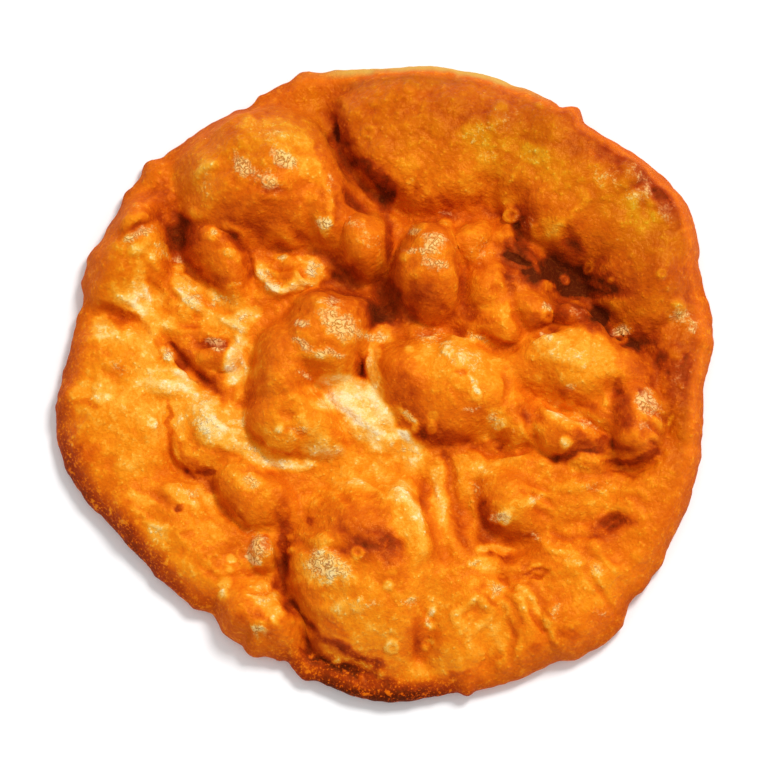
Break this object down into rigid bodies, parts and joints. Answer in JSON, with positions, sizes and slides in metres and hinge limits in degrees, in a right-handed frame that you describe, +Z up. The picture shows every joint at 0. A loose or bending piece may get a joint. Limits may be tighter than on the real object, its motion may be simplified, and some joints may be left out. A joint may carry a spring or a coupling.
{
  "type": "langos",
  "caption": "Plain fried langos: a round of puffed, blistered yeast dough with a thin wavy edge, lying flat.",
  "frame": {"origin": "centre of the bounding box in plan, on the surface that the bread rests on", "axes": "+Z up out of the top crust, +X to the right and +Y away from the viewer as in the picture"},
  "size_m": [0.1958, 0.192, 0.0269],
  "materials": {
    "fried_crust": null
  },
  "bodies": {
    "root": {"langos": "fried_crust"}
  },
  "joints": []
}
